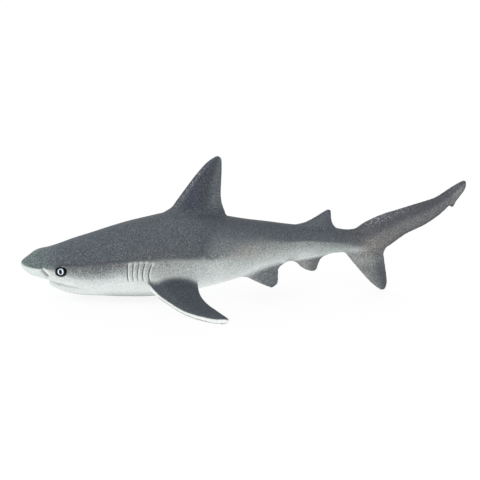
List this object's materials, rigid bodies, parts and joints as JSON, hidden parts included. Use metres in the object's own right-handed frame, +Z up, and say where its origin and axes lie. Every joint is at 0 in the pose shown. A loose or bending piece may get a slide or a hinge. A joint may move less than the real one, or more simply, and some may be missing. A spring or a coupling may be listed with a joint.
{
  "type": "toy reef shark figure",
  "caption": "Solid moulded toy figure of a grey reef shark with painted skin, resting on its chest, pectoral fins and tail tip.",
  "frame": {"origin": "centre of the bounding box's base, on the table the figure rests on", "axes": "the nose points to -X, the figure's left side faces -Y, and +Z is up"},
  "size_m": [0.1798, 0.069, 0.0578],
  "materials": {
    "body_grey": "soft vinyl, hand and airbrush painted slate grey above and off-white below, matte with a fine grain",
    "fin_grey": "the same painted vinyl, darker grey",
    "eye_black": "gloss paint: black ring, pale blue-white iris, upright oval black pupil"
  },
  "bodies": {
    "root": {"head": "body_grey", "lower_jaw": "body_grey", "trunk": "body_grey", "tail_stalk": "body_grey", "first_dorsal_fin": "fin_grey", "second_dorsal_fin": "fin_grey", "anal_fin": "body_grey", "pelvic_fin_left": "body_grey", "pelvic_fin_right": "body_grey", "pectoral_fin_left": "fin_grey", "pectoral_fin_right": "fin_grey", "tail_fin_upper_lobe": "fin_grey", "tail_fin_lower_lobe": "fin_grey", "eye_left": "eye_black", "eye_right": "eye_black"}
  },
  "joints": []
}
